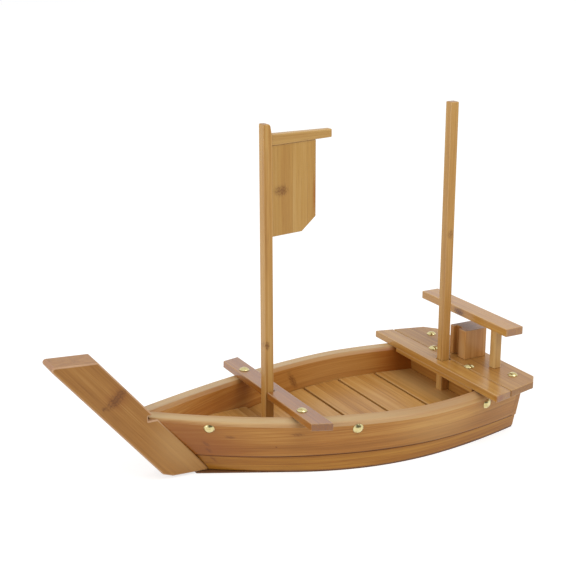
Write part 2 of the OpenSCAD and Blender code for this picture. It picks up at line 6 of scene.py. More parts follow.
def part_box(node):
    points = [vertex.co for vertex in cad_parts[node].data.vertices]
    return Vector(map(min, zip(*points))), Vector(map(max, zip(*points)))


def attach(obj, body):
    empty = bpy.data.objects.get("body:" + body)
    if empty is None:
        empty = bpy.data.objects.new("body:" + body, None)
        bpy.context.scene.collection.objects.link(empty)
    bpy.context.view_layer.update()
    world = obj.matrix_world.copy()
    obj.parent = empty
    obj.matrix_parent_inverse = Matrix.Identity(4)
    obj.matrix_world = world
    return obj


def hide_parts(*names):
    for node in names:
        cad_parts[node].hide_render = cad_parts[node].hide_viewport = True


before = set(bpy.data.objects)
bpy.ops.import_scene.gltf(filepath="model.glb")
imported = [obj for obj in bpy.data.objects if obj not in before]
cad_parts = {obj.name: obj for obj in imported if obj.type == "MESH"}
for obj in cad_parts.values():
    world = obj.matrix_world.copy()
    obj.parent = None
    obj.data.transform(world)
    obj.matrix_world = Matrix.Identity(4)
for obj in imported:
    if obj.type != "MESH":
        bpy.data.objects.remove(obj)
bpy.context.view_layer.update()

# The studio: a serving boat of bamboo stands on a white sweep, seen from ahead of its port side.
# One large soft lamp hangs to port and a smaller one ahead of the bow, in a room that is white all
# round. Gloss alone sees a dark card behind the camera, which gives polished brass its dark part.
eye = (-0.52805, -0.9934, 0.5079)
bearing, rise, roll = np.radians([-28.13, 17.25, -0.1])
camera_data = bpy.data.cameras.new("studio_camera")
camera = bpy.data.objects.new("studio_camera", camera_data)
bpy.context.scene.collection.objects.link(camera)
camera_data.sensor_width = 36
camera_data.lens = 77.347
camera_data.shift_x = -0.00123
camera_data.shift_y = 0.01021
camera_data.clip_end = 50
back = np.array([np.sin(bearing) * np.cos(rise), -np.cos(bearing) * np.cos(rise), np.sin(rise)])
right = np.array([np.cos(bearing), np.sin(bearing), 0])
upward = np.cross(back, right)
axes = np.stack([right * np.cos(roll) + upward * np.sin(roll),
                 upward * np.cos(roll) - right * np.sin(roll), back], 1)
camera.matrix_world = Matrix.Translation(eye) @ Matrix(axes.tolist()).to_4x4()
bpy.context.scene.camera = camera
bpy.context.scene.view_settings.view_transform = "Standard"


def wire(tree, kind, inputs=None, **settings):
    """Adds a node. Each input is a link where its value is a socket, and a constant otherwise."""
    made = tree.nodes.new(kind)
    for key, value in settings.items():
        setattr(made, key, value)
    for key, value in (inputs or {}).items():
        if isinstance(value, bpy.types.NodeSocket):
            tree.links.new(value, made.inputs[key])
        else:
            made.inputs[key].default_value = value
    return made


def calc(tree, operation, *values):
    """Output of a Math node that works on the values in turn."""
    return wire(tree, "ShaderNodeMath", dict(enumerate(values)), operation=operation).outputs[0]


def seen_directly(tree):
    """1 for rays that should meet the white background: from the camera, or off gloss and glass."""
    path = wire(tree, "ShaderNodeLightPath").outputs
    either = calc(tree, "MAXIMUM", path["Is Camera Ray"], path["Is Glossy Ray"])
    return calc(tree, "MAXIMUM", either, path["Is Transmission Ray"])


def bare_material(name):
    """A material without any nodes, and its node tree."""
    made = bpy.data.materials.new(name)
    made.use_nodes = True
    made.node_tree.nodes.clear()
    return made, made.node_tree


def flat_sheet(name, corners, material):
    """A sheet of the studio with four corners."""
    mesh = bpy.data.meshes.new(name)
    mesh.from_pydata(corners, [], [(0, 1, 2, 3)])
    mesh.materials.append(material)
    sheet = bpy.data.objects.new(name, mesh)
    bpy.context.scene.collection.objects.link(sheet)
    return sheet


white = (1, 1, 1, 1)
room = bpy.data.worlds.new("white_room")
bpy.context.scene.world = room
room.use_nodes = True
tree = room.node_tree
tree.nodes.clear()
ambient = wire(tree, "ShaderNodeBackground", {"Color": white, "Strength": 0.62}).outputs[0]
backdrop = wire(tree, "ShaderNodeBackground", {"Color": white, "Strength": 1.0}).outputs[0]
chosen = wire(tree, "ShaderNodeMixShader", {0: seen_directly(tree), 1: ambient, 2: backdrop}).outputs[0]
wire(tree, "ShaderNodeOutputWorld", {"Surface": chosen})

aim = Vector((0, 0, 0.1))
lamps = (("key_lamp", (0.7, -1.6, 2.1), 1.8, 26), ("bow_lamp", (-2.3, -0.2, 0.95), 1.3, 17))
for lamp_name, place, size, power in lamps:
    lamp_data = bpy.data.lights.new(lamp_name, "AREA")
    lamp_data.size = size
    lamp_data.energy = power
    lamp = bpy.data.objects.new(lamp_name, lamp_data)
    lamp.location = place
    lamp.rotation_euler = (aim - Vector(place)).to_track_quat("-Z", "Y").to_euler()
    bpy.context.scene.collection.objects.link(lamp)

sweep_paint, tree = bare_material("white_sweep")
lit = wire(tree, "ShaderNodeBsdfDiffuse", {"Color": (0.78, 0.78, 0.78, 1)}).outputs[0]
shaded = wire(tree, "ShaderNodeBsdfDiffuse", {"Color": (0.48, 0.48, 0.48, 1)}).outputs[0]
glow = wire(tree, "ShaderNodeEmission", {"Color": white, "Strength": 0.72}).outputs[0]
shown = wire(tree, "ShaderNodeAddShader", {0: shaded, 1: glow}).outputs[0]
chosen = wire(tree, "ShaderNodeMixShader", {0: seen_directly(tree), 1: lit, 2: shown}).outputs[0]
wire(tree, "ShaderNodeOutputMaterial", {"Surface": chosen})
floor = flat_sheet("white_sweep", [(-6, -6, 0), (6, -6, 0), (6, 6, 0), (-6, 6, 0)], sweep_paint)

card_paint, tree = bare_material("dark_card")
dim = wire(tree, "ShaderNodeEmission", {"Color": white, "Strength": 0.16}).outputs[0]
wire(tree, "ShaderNodeOutputMaterial", {"Surface": dim})
card_corners = [(-1.1, -1.1, 0.01), (0.95, -1.2, 0.01), (0.95, -1.2, 1.35), (-1.1, -1.1, 1.35)]
card = flat_sheet("dark_card", card_corners, card_paint)
card.visible_camera = card.visible_diffuse = card.visible_shadow = False

# Bottom board, floor battens and bow bearers: thin sawn bamboo strips, the least sanded and oiled
# of the boat. The bottom board is glued under the lower strakes, and the strips stand on it.
# pale tone of worn edges, which also stands in as a painted highlight
worn_and_highlight_bamboo = (222, 188, 138)


def srgb(red, green, blue):
    """A colour read off as 0 to 255, as the shader's linear values."""
    c = np.array([red, green, blue]) / 255
    linear = np.where(c <= 0.04045, c / 12.92, ((c + 0.055) / 1.055) ** 2.4)
    return tuple(linear.tolist()) + (1.0,)


def vector_calc(tree, operation, *values):
    """Vector output of a Vector Math node that works on the values in turn."""
    return wire(tree, "ShaderNodeVectorMath", dict(enumerate(values)), operation=operation).outputs[0]


def stretched(tree, vector, along, across, detail, rough):
    """Noise whose cells are 1 / along metres long with the grain and 1 / across wide."""
    scaled = vector_calc(tree, "MULTIPLY", vector, (along, across, across))
    return wire(tree, "ShaderNodeTexNoise", {
        "Vector": scaled, "Scale": 1.0, "Detail": detail, "Roughness": rough}).outputs[0]


def fade(tree, value, start, stop):
    """0 at start, 1 at stop, eased between them."""
    return wire(tree, "ShaderNodeMapRange", {0: value, 1: start, 2: stop},
                interpolation_type="SMOOTHSTEP").outputs[0]


def shader_group(name, vectors, numbers, results):
    """A group of nodes that takes vectors and numbers and gives numbers."""
    group = bpy.data.node_groups.new(name, "ShaderNodeTree")
    for kind, way, sockets in (("NodeSocketVector", "INPUT", vectors), ("NodeSocketFloat", "INPUT", numbers),
                               ("NodeSocketFloat", "OUTPUT", results)):
        for socket in sockets:
            group.interface.new_socket(socket, in_out=way, socket_type=kind)
    return group


def fibre_group():
    """Bamboo's fibres in grain coordinates: x with the grain, y across it and z through the board.

    The board is glued from strips. Each strip has its own tone and its own place in the noise, the
    broad streaks and the fine fibres are stretched noise, and the dark dashes are its highest part.
    A seam is where the way across, counted in strips, is close to a whole number.
    """
    group = shader_group("bamboo_fibres", ["Grain"], ["Strip"],
                         ["Tone", "Broad", "Fine", "Dashes", "Seams", "Height"])
    start = wire(group, "NodeGroupInput").outputs
    parts = wire(group, "ShaderNodeSeparateXYZ", {0: start["Grain"]}).outputs
    wander = stretched(group, start["Grain"], 5, 9, 1, 0.5)
    across = calc(group, "MULTIPLY_ADD", wander, 0.0016, parts[1])
    share = calc(group, "DIVIDE", across, start["Strip"])
    strip_number = calc(group, "FLOOR", share)
    strip = wire(group, "ShaderNodeTexWhiteNoise", {1: strip_number}, noise_dimensions="1D").outputs
    moved = vector_calc(group, "ADD", strip["Color"], start["Grain"])
    broad = stretched(group, moved, 5, 170, 3, 0.6)
    fine = stretched(group, moved, 16, 1000, 3, 0.6)
    dashes = fade(group, stretched(group, moved, 40, 2300, 1, 0.5), 0.6, 0.78)
    seams = fade(group, calc(group, "PINGPONG", share, 0.5), 0.016, 0.002)
    height = calc(group, "SUBTRACT", fine, calc(group, "MULTIPLY", dashes, 0.5))
    wire(group, "NodeGroupOutput", {"Tone": strip["Value"], "Broad": broad, "Fine": fine,
                                    "Dashes": dashes, "Seams": seams, "Height": height})
    return group


def oval_distance(tree, offset, reach):
    """Distance from the middle of an oval, 1 on its rim: the length of the offset over the reach."""
    scaled = vector_calc(tree, "DIVIDE", offset, reach)
    return wire(tree, "ShaderNodeVectorMath", {0: scaled}, operation="LENGTH").outputs["Value"]


def knuckle_group():
    """The mark where a joint of the cane was: a soft oval stain with thin wavy lines in it.

    The stain fades out from the middle with a ragged rim. The lines run across the grain: they are
    the crests of a sine of the way along it, which noise shifts.
    """
    group = shader_group("bamboo_knuckle", ["Grain", "Centre", "Reach"], [], ["Mark"])
    start = wire(group, "NodeGroupInput").outputs
    offset = vector_calc(group, "SUBTRACT", start["Grain"], start["Centre"])
    distance = oval_distance(group, offset, start["Reach"])
    ragged = calc(group, "SUBTRACT", stretched(group, start["Grain"], 110, 620, 2, 0.6), 0.5)
    stain = fade(group, calc(group, "MULTIPLY_ADD", ragged, 1.5, distance), 1.15, 0.1)
    along = wire(group, "ShaderNodeSeparateXYZ", {0: offset}).outputs[0]
    wavy = calc(group, "MULTIPLY_ADD", stretched(group, start["Grain"], 10, 330, 2, 0.5), 0.009, along)
    waves = calc(group, "SINE", calc(group, "MULTIPLY", wavy, 1900))
    lines = calc(group, "MULTIPLY", fade(group, waves, 0.1, 1.0), fade(group, distance, 1.0, 0.5))
    mark = calc(group, "MULTIPLY_ADD", lines, 0.45, calc(group, "MULTIPLY", stain, 0.8))
    wire(group, "NodeGroupOutput", {"Mark": calc(group, "MINIMUM", mark, 1)})
    return group


fibres, knuckle = fibre_group(), knuckle_group()


def mixed(tree, factor, first, second):
    """Colour that goes from first to second with the factor."""
    return wire(tree, "ShaderNodeMix", {0: factor, 6: first, 7: second}, data_type="RGBA").outputs[2]


def fibre_colour(tree, layers, dark, middle, pale, contrast):
    """Colour off a ramp of three tones.

    The place on the ramp is a half, plus each layer's distance from a half times its weight.
    """
    level = 0.5
    for layer, weight in (("Broad", 0.7), ("Fine", 0.6), ("Tone", 0.16)):
        centred = calc(tree, "SUBTRACT", layers[layer], 0.5)
        level = calc(tree, "MULTIPLY_ADD", centred, weight * contrast, level)
    ramp = wire(tree, "ShaderNodeValToRGB", {0: level})
    stops = ramp.color_ramp.elements
    stops.remove(stops[1])
    stops[0].position = 0.2
    stops[0].color = srgb(*dark)
    stops.new(0.5).color = srgb(*middle)
    stops.new(0.82).color = srgb(*pale)
    return ramp.outputs[0]


def worn_highlit_and_seam_shaded(tree, colour, broad, wear_and_highlight, worn_and_highlight_tone, stain):
    """Edges paler where the edge attribute is above 0, as wear and painted highlight, and painted shade in a
    seam where it is below.
    """
    edge = wire(tree, "ShaderNodeAttribute", attribute_name="edge").outputs["Fac"]
    patchy = calc(tree, "MULTIPLY_ADD", broad, wear_and_highlight, wear_and_highlight / 2)
    wear_and_highlight_amount = calc(tree, "MULTIPLY", calc(tree, "MAXIMUM", edge, 0), patchy)
    seam_and_joint_shade = calc(tree, "MAXIMUM", calc(tree, "MULTIPLY", edge, -0.95), 0)
    return mixed(tree, seam_and_joint_shade, mixed(tree, wear_and_highlight_amount, colour, srgb(*worn_and_highlight_tone)), stain)


def shaded_cane(tree, colour, grain, fine, shades, deep_shade, light):
    """Soft ovals of painted shade, or of painted light where the strength is below 0; some are the cane's own
    uneven tone.
    """
    for centre, reach, strength in shades:
        distance = oval_distance(tree, vector_calc(tree, "SUBTRACT", grain, centre), reach)
        uneven = calc(tree, "MULTIPLY_ADD", fine, 0.5, calc(tree, "SUBTRACT", distance, 0.25))
        amount = calc(tree, "MULTIPLY", fade(tree, uneven, 1.0, 0.1), abs(strength))
        colour = mixed(tree, amount, colour, deep_shade if strength > 0 else light)
    return colour


def knuckled(tree, colour, grain, knuckles, stain):
    """Joint marks of the cane in the stain's colour."""
    for centre, reach, strength in knuckles:
        mark = wire(tree, "ShaderNodeGroup", {"Grain": grain, "Centre": centre, "Reach": reach},
                    node_tree=knuckle).outputs[0]
        colour = mixed(tree, calc(tree, "MULTIPLY", mark, strength), colour, stain)
    return colour


def sawn_across_grain(tree, colour, grain, end_tone):
    """Sawn ends, on which the ends of the fibre bundles are darker specks."""
    end = wire(tree, "ShaderNodeAttribute", attribute_name="end").outputs["Fac"]
    bundles = fade(tree, stretched(tree, grain, 600, 600, 2, 0.7), 0.35, 0.65)
    amount = calc(tree, "MULTIPLY", end, calc(tree, "MULTIPLY_ADD", bundles, 0.4, 0.4))
    return mixed(tree, amount, colour, srgb(*end_tone))


def bamboo(name, dark, middle, pale, strip=0.0195, knuckles=(), shades=(), turned=None, wear_and_highlight=0.25,
           worn_and_highlight_tone=worn_and_highlight_bamboo, end_tone=(150, 112, 88), contrast=1.25, gloss=0.42, coat=0.15):
    """Varnished bamboo: fibres pick the colour between a dark, a middle and a pale tone.

    Its grain coordinates are the mesh's own attribute, or Object coordinates turned by the given
    angles on a piece that has none. Knuckles and shades are given as centre, reach and strength in
    those coordinates, in metres. Shades are painted shade, or painted light where the strength is
    below 0, and on some pieces the cane's own uneven tone. Edges go paler as wear and painted
    highlight, and seams beside the planks' step go to the stain's colour as painted shade. Stains are
    the dark tone with more of its red left than of its blue.
    """
    made, tree = bare_material(name)
    if turned is None:
        grain = wire(tree, "ShaderNodeAttribute", attribute_name="grain").outputs["Vector"]
    else:
        where = wire(tree, "ShaderNodeTexCoord").outputs["Object"]
        grain = wire(tree, "ShaderNodeMapping", {"Vector": where, "Rotation": turned}).outputs[0]
    layers = wire(tree, "ShaderNodeGroup", {"Grain": grain, "Strip": strip}, node_tree=fibres).outputs
    stain = srgb(*(np.array([0.66, 0.54, 0.42]) * dark))
    deep_shade = srgb(*(np.array([0.96, 0.8, 0.42]) * dark))
    light = srgb(*(np.array([pale, worn_and_highlight_bamboo]).mean(0)))
    colour = fibre_colour(tree, layers, dark, middle, pale, contrast)
    for layer in ("Dashes", "Seams"):
        colour = mixed(tree, calc(tree, "MULTIPLY", layers[layer], 0.3), colour, stain)
    colour = worn_highlit_and_seam_shaded(tree, colour, layers["Broad"], wear_and_highlight, worn_and_highlight_tone, stain)
    colour = shaded_cane(tree, colour, grain, layers["Fine"], shades, deep_shade, light)
    colour = knuckled(tree, colour, grain, knuckles, stain)
    colour = sawn_across_grain(tree, colour, grain, end_tone)
    rough = calc(tree, "MULTIPLY_ADD", layers["Fine"], 0.16, gloss - 0.08)
    bump = wire(tree, "ShaderNodeBump", {"Height": layers["Height"], "Strength": 0.3, "Distance": 0.0002})
    shader = wire(tree, "ShaderNodeBsdfPrincipled", {
        "Base Color": colour, "Roughness": rough, "Normal": bump.outputs[0],
        "Coat Weight": coat, "Coat Roughness": 0.18, "IOR": 1.4, "Coat IOR": 1.4})
    wire(tree, "ShaderNodeOutputMaterial", {"Surface": shader.outputs[0]})
    return made


def finish_solid(node_name, material):
    """Gives a solid of the frame its material."""
    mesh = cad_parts[node_name].data
    mesh.materials.clear()
    mesh.materials.append(material)


quarter_turn = (0, 0, np.pi / 2)
# the dark cane of the bottom board and battens is painted shade under the hull
shade_darkened_sawn = bamboo("sawn_bamboo", (86, 53, 26), (115, 76, 41), (134, 96, 58), turned=(0, 0, 0),
                         gloss=0.5, coat=0.1)
sawn_athwart = bamboo("sawn_bamboo_across", (120, 80, 44), (158, 112, 66), (184, 140, 92),
                      turned=quarter_turn, gloss=0.5, coat=0.1)
for node_name in ("bottom_board", "floor_battens"):
    finish_solid(node_name, shade_darkened_sawn)
finish_solid("bow_bearers", sawn_athwart)

# Stem: one thick raked plank of solid bamboo in the middle of the boat, sawn square at its head.
# Its after edge is pocketed for the ends of the side planks, which are glued in.
origin_station = 87.4476
stem_rake, stem_width, stem_thickness = np.radians(50), 33.6, 28
stem_foot, stem_head, stem_head_aft = 1.6, 130, 127.5
chin_height, chin_run, chin_foot = 6.7, 10, 3.1
# above the planks' ends the two pockets meet in an open window, let into the after edge to its wall
window_low, window_high, window_wall = 62.7, 67.5, -62.03


def unit(vectors):
    """Vectors divided by their lengths."""
    return vectors / np.maximum(np.linalg.norm(vectors, axis=-1, keepdims=True), 1e-12)


def round_corners(outline, radii, steps=4, hold=0.2):
    """Closed outlines with their corners rounded, as points round each outline.

    At a corner the edges stop radius / tan(half the angle) short, and an arc joins them about a
    centre radius / sin(half the angle) inside it. A point is held on each edge next to the arc.
    A corner of radius 0 stays as it is.
    """
    corner = np.asarray(outline, float)
    radius = np.zeros(corner.shape[-2]) + radii
    before, after = unit(np.roll(corner, 1, -2) - corner), unit(np.roll(corner, -1, -2) - corner)
    half = np.arccos(np.clip((before * after).sum(-1), -1, 1)) / 2
    cut = (radius / np.tan(half))[..., None]
    centre = corner + unit(before + after) * (radius / np.sin(half))[..., None]
    first, last = corner + before * cut - centre, corner + after * cut - centre
    start = np.arctan2(first[..., 1], first[..., 0])
    turn = (np.arctan2(last[..., 1], last[..., 0]) - start + np.pi) % (2 * np.pi) - np.pi
    angle = start[..., None] + turn[..., None] * np.linspace(0, 1, steps + 1)
    arc = centre[..., None, :] + radius[:, None, None] * np.stack([np.cos(angle), np.sin(angle)], -1)
    held = [(corner + side * (cut + hold))[..., None, :] for side in (before, after)]
    points = np.concatenate([held[0], arc, held[1]], -2)
    sharp = (radius == 0)[:, None, None]
    points = np.where(sharp, corner[..., None, :], points)
    kept = (radius > 0)[:, None] | (np.arange(steps + 3) == 0)
    return points[..., kept, :]


def eased_board(outline, low, high, ease, steps=4, hold=0.2):
    """A flat board as rings of points (ring, point, [u, v, w]), with how far each ring is on an edge.

    The outline is carried from low to high. At each face it is drawn in by ease * (1 - sin a)
    while it comes within ease * (1 - cos a) of the face, so the board's edges are quarter circles.
    """
    side = unit(np.roll(outline, -1, 0) - outline)
    outward = np.stack([side[:, 1], -side[:, 0]], 1)
    other = np.roll(outward, 1, 0)
    mitre = (outward + other) / (1 + (outward * other).sum(1, keepdims=True))
    a = np.linspace(0, np.pi / 2, steps + 1)
    inset = np.concatenate([[ease + hold], ease * (1 - np.sin(a)), [0]])
    lift = np.concatenate([[0], ease * (1 - np.cos(a)), [ease + hold]])
    wear_and_highlight = np.concatenate([[0], np.ones(steps + 1), [0]])
    inset, wear_and_highlight = np.concatenate([inset, inset[::-1]]), np.concatenate([wear_and_highlight, wear_and_highlight[::-1]])
    height = np.concatenate([low + lift, high - lift[::-1]])
    flat = outline[None] - mitre[None] * inset[:, None, None]
    rings = np.concatenate([flat, np.broadcast_to(height[:, None, None], flat.shape[:2] + (1,))], 2)
    return rings, np.broadcast_to(wear_and_highlight[:, None], flat.shape[:2])


def make_piece(name, parts, material, slot, *nodes):
    """One object from closed parts: each is rings in metres, grain coordinates, edge and grain axis.

    Rings are joined by quads and closed at both ends. The grain and edge go on the points, and a
    face whose normal lies along the grain is marked as an end.
    """
    points, grains, edges, faces, directions = [], [], [], [], []
    count = 0
    for rings, grain, edge, direction in parts:
        m, n = rings.shape[:2]
        index = count + np.arange(m * n).reshape(m, n)
        following = np.roll(index, -1, 1)
        quads = np.stack([index[:-1], following[:-1], following[1:], index[1:]], -1).reshape(-1, 4)
        faces += quads.tolist() + [index[0, ::-1].tolist(), index[-1].tolist()]
        directions.append(np.broadcast_to(direction, (len(quads) + 2, 3)))
        points.append(rings.reshape(-1, 3))
        grains.append(grain.reshape(-1, 3))
        edges.append(np.ravel(edge))
        count += m * n
    mesh = bpy.data.meshes.new(name)
    mesh.from_pydata(np.concatenate(points), [], faces)
    normals = np.empty(len(mesh.polygons) * 3)
    mesh.polygons.foreach_get("normal", normals)
    facing = np.abs((normals.reshape(-1, 3) * np.concatenate(directions)).sum(1))
    for attribute, kind, domain, key, values in (
            ("grain", "FLOAT_VECTOR", "POINT", "vector", np.concatenate(grains)),
            ("edge", "FLOAT", "POINT", "value", np.concatenate(edges).astype(float)),
            ("end", "FLOAT", "FACE", "value", np.clip((facing - 0.7) / 0.2, 0, 1))):
        mesh.attributes.new(attribute, kind, domain).data.foreach_set(key, values.ravel())
    mesh.shade_smooth()
    mesh.set_sharp_from_angle(angle=np.radians(40))
    mesh.materials.append(material)
    piece = bpy.data.objects.new(name, mesh)
    bpy.context.scene.collection.objects.link(piece)
    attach(piece, "root")
    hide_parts(*nodes)
    return piece


def metres(stations):
    """Points in millimetres along the boat's stations, as metres in the frame."""
    return (stations - np.array([origin_station, 0, 0])) / 1000


def facing_port(board):
    """Rings of a board drawn in stations and heights, stood up in the boat's middle plane."""
    return metres(np.stack([board[..., 0], -board[..., 2], board[..., 1]], -1))


def stem_after_edge(height):
    """Station of the stem's after edge, which leans ahead with the rake."""
    return -height / np.tan(stem_rake)


def stem_front_edge(height):
    """Station of the front edge, the stem's width square to the rake further ahead."""
    return stem_after_edge(height) - stem_width / np.sin(stem_rake)


stem_outline = round_corners(
    [(stem_after_edge(stem_foot), stem_foot), (stem_after_edge(window_low), window_low),
     (window_wall, window_low), (window_wall, window_high), (stem_after_edge(window_high), window_high),
     (stem_after_edge(stem_head_aft), stem_head_aft), (stem_front_edge(stem_head), stem_head),
     (stem_front_edge(chin_height), chin_height), (stem_front_edge(chin_height) + chin_run, chin_foot)],
    [1.5, 1.5, 0.3, 0.3, 1.5, 1.5, 3.0, 1.5, 1.5])
board, stem_edge = eased_board(stem_outline, -stem_thickness / 2, stem_thickness / 2, ease=1.2)
# beside the joints with the side planks the after edge isn't made pale, but painted darker: painted shade
# where the planks meet it
joined = (board[..., 0] > stem_after_edge(board[..., 1]) - 2.5) & (board[..., 1] < window_low - 2)
stem_edge = np.where(joined, -0.8, 1) * stem_edge
stem_rings = facing_port(board)
rake_axis = np.array([-np.cos(stem_rake), 0, np.sin(stem_rake)])
over_rake = np.array([np.sin(stem_rake), 0, np.cos(stem_rake)])
stem_grain = np.stack([stem_rings @ rake_axis, stem_rings @ over_rake, stem_rings[..., 1]], -1)
# its edges go paler as wear and painted highlight; its shades are a stain round the knuckle and a paler patch
# at its foot
stem_bamboo = bamboo(
    "stem_bamboo", (146, 96, 38), (165, 113, 50), (182, 134, 70), strip=0.016, wear_and_highlight=0.8,
    worn_and_highlight_tone=(200, 160, 124), end_tone=(178, 132, 102),
    knuckles=[((0.1838, -0.0795, -0.014), (0.0065, 0.0155, 0.03), 0.7),
              ((0.1864, -0.0934, -0.014), (0.003, 0.0022, 0.03), 0.6)],
    shades=[((0.183, -0.078, -0.014), (0.016, 0.016, 0.03), 0.5),
            ((0.1, -0.072, -0.014), (0.05, 0.03, 0.03), -0.45)])
make_piece("stem_plank", [(stem_rings, stem_grain, stem_edge, rake_axis)], stem_bamboo, "hull_bamboo", "stem")

# Side planks: two on each side, bent round the boat and glued along a stepped seam. The thick
# upper ones are worked by hand along the gunwale; the lower ones stand on the bottom board.
hull_length, depth, widest = 315, 53, 193
stem_gunwale, transom_gunwale = -55.632, 323.774
sheer_rise, sheer_start, sheer_power = 13.3, 263.5, 2.5
gunwale_breadths, gunwale_powers = (14, 94.5, 70.5), (1.7, 1.75)
bottom_breadths, bottom_powers = (11.2, 86, 66.8), (2.15, 1.7)
seam_bow, seam_stern, seam_power = 18.5, 14, 1.5
strake_thickness, strake_step, glue, bottom_thickness = 13.5, 1.2, 0.1, 1.5
plank_ahead, upper_short, rib_count = 6.3, 7.195, 180
fill_out, fill_until, fill_power = 4.5, 55, 1.3
crown_width, crown_drop, crease_drop = 3.0, 2.8, 6.5
bevel_width, bevel_height = 2.6, 3.4
lower_radii, crowned_radii = [0.3, 0.8, 1.0, 0.3], [0.3, 1.6, 0.5, 5, 1]
bevelled_radii = [0.3, 1.6, 1, 0.8, 0.6]
# how far above and below the seam the outer face is painted darker, as painted shade in the step
seam_shade_above, seam_shade_below = 1.7, 1.15
lengthwise = (1, 0, 0)


def blend(a, b, t):
    """From a at t = 0 to b at t = 1 along a straight line."""
    return a + (b - a) * t


def half_breadth(x, bow_x, stern_x, breadths, powers):
    """Half breadth at stations x: a power curve from the widest rib to each end.

    The breadths are those at the bow, the widest rib and the stern, the powers those ahead and behind.
    """
    bow, wide, stern = breadths
    ahead = np.clip((widest - x) / (widest - bow_x), 0, None) ** powers[0]
    behind = np.clip((x - widest) / (stern_x - widest), 0, None) ** powers[1]
    return np.where(x < widest, blend(wide, bow, ahead), blend(wide, stern, behind))


def gunwale_half(x):
    """Half breadth over the gunwales."""
    return half_breadth(x, stem_gunwale, transom_gunwale, gunwale_breadths, gunwale_powers)


def bottom_half(x):
    """Half breadth of the bottom."""
    return half_breadth(x, 0, hull_length, bottom_breadths, bottom_powers)


def sheer(x):
    """Height of the gunwale: level in the after part, then a power curve up to the stem."""
    share = np.clip(sheer_start - x, 0, None) / (sheer_start - stem_gunwale)
    return depth + sheer_rise * share ** sheer_power


def rib(u, ahead=0, short=0):
    """Stations of ribs at the bottom and at the gunwale, at shares u of the hull's length."""
    return blend(-ahead, hull_length - short, u), blend(stem_gunwale - ahead, transom_gunwale - short, u)


def rib_point(low_x, high_x, z):
    """Station, outer half breadth and inner half breadth of straight ribs at heights z.

    The side's thickness along the rib's breadth is the plank's, times the root of 1 + slope squared.
    """
    share = z / sheer(high_x)
    outer = blend(bottom_half(low_x), gunwale_half(high_x), share)
    runs = [strake_thickness * np.sqrt(1 + (half(x + 0.5) - half(x - 0.5)) ** 2)
            for half, x in ((bottom_half, low_x), (gunwale_half, high_x))]
    return blend(low_x, high_x, share), outer, np.maximum(glue, outer - blend(runs[0], runs[1], share))


def seam_height(low_x):
    """Height of the seam between the planks: level ahead, then a power curve down to the stern."""
    share = np.clip(low_x - hull_length / 3, 0, None) / (hull_length * 2 / 3)
    return blend(seam_bow, seam_stern, share ** seam_power)


def crowned_wear_and_highlight(drop, from_inside):
    """Wear and painted highlight of a crowned top, at drops below the gunwale: 1 above the crown, 0.6 down to
    the crease.
    """
    strength = blend(0.6, 1, np.clip((crown_drop + 0.8 - drop) / 1.2, 0, 1))
    above_crease = np.clip((crease_drop + 0.35 - drop) / 0.3, 0, 1)
    return strength * above_crease * np.clip(from_inside / 0.6, 0, 1)


def bevelled_wear_and_highlight(drop, inward):
    """Wear and painted highlight of a bevelled top: 0.35 on the bevel, 0.65 more on the level part above it.
    """
    level_part = np.clip((0.5 - drop) / 0.3, 0, 1)
    above_bevel = np.clip((bevel_height + 0.2 - drop) / 0.3, 0, 1)
    return 0.65 * level_part + 0.35 * above_bevel * (inward > 2)


def bent_plank(side, ribs, low, high, radii, top=None, shrink=0, fill=0):
    """Rings, grain and edge of a side plank: a section with rounded corners, carried along the ribs.

    The section has four corners between the low and the high edge. A worked top gives it a fifth: a
    crowned one slopes from the inner corner out to the crown and down to a crisp crease on the outer
    face, and a bevelled one is level with its inner corner cut off. The outer face is set in by the
    shrink, and its lower edge is filled out towards the stem as a power of the way there.

    The grain runs with the length of the plank's outer face, the height is across it, and the
    distance in from the outer face is through it. Edge is above 0 on the worked top, which goes paler
    as wear and painted highlight, and below 0 beside the seam on the outer face, which is painted
    darker as the shade in the step between the planks.
    """
    low_x, high_x = ribs
    _, outer_low, inner_low = rib_point(low_x, high_x, low)
    _, outer_high, inner_high = rib_point(low_x, high_x, high)
    outer_low = outer_low - shrink + fill * np.clip(1 - low_x / fill_until, 0, 1) ** fill_power
    outer_high = outer_high - shrink
    corners = [(inner_low, low), (outer_low, low), (outer_high, high), (inner_high, high)]
    if top == "crowned":
        crease = blend(outer_high, outer_low, crease_drop / (high - low))
        corners[2:3] = [(crease, high - crease_drop), (outer_high - crown_width, high - crown_drop)]
    if top == "bevelled":
        cut = blend(inner_high, inner_low, bevel_height / (high - low))
        level_end = inner_high + np.minimum(bevel_width, (outer_high - inner_high) / 3)
        corners[3:] = [(level_end, high), (cut, high - bevel_height)]
    section = round_corners(np.stack([np.stack(c, -1) for c in corners], -2), radii, steps=6)
    y, z = section[..., 0], section[..., 1]
    x, _, _ = rib_point(low_x[:, None], high_x[:, None], z)
    low, high, outer_low, outer_high, inner_high = [
        line[:, None] for line in (low, high, outer_low, outer_high, inner_high)]
    inward = blend(outer_low, outer_high, (z - low) / (high - low)) - y
    path = np.stack([blend(low_x, high_x, 0.5), blend(outer_low, outer_high, 0.5)[:, 0]], 1)
    length = np.concatenate([[0], np.cumsum(np.linalg.norm(np.diff(path, axis=0), axis=1))])
    grain = np.stack([np.broadcast_to(length[:, None], y.shape), z, inward], -1) / 1000
    outside = np.clip(3 - inward, 0, 1)
    if top is None:
        edge = -outside * np.clip(1 - (high - z) / seam_shade_below, 0, 1)
    else:
        top_wear_and_highlight = crowned_wear_and_highlight(high - z, y - inner_high) if top == "crowned" else bevelled_wear_and_highlight(high - z, inward)
        edge = top_wear_and_highlight - outside * np.clip(1 - (z - low) / seam_shade_above, 0, 1)
    return metres(np.stack([x, side * y, z], -1)), grain, edge


